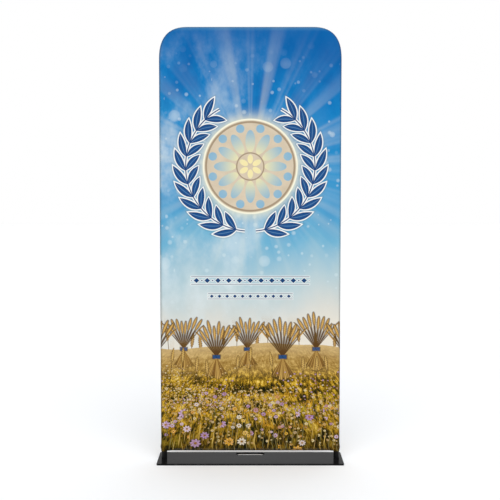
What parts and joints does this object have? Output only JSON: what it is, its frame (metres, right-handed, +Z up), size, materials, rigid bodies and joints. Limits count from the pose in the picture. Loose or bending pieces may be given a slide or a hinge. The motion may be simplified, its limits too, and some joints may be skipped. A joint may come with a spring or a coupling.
{
  "type": "fabric church banner on a tube stand",
  "caption": "Free-standing banner: a printed stretch-cloth cover drawn over a round-topped tube frame, its legs standing on a flat steel base plate with a hand slot.",
  "frame": {"origin": "on the floor under the middle of the base plate, the bottom centre of the bounding box", "axes": "+Z up, along the banner's height; +X to the right seen from the printed front; +Y to the back, through the banner's thickness"},
  "size_m": [0.9434, 0.228, 2.194],
  "materials": {
    "printed_cloth": "stretch polyester knit with an all-over dye print, blue sky shading to a golden field, matt with a faint sheen",
    "frame_tube": "aluminium tube, satin black powder coat",
    "plate_coat": "steel plate, semi-gloss black powder coat with a fine grain"
  },
  "bodies": {
    "root": {"cover_front": "printed_cloth", "cover_back": "printed_cloth", "upright_left": "frame_tube", "upright_right": "frame_tube", "bend_left": "frame_tube", "bend_right": "frame_tube", "top_tube": "frame_tube", "bottom_bar": "frame_tube", "base_plate": "plate_coat"}
  },
  "joints": []
}
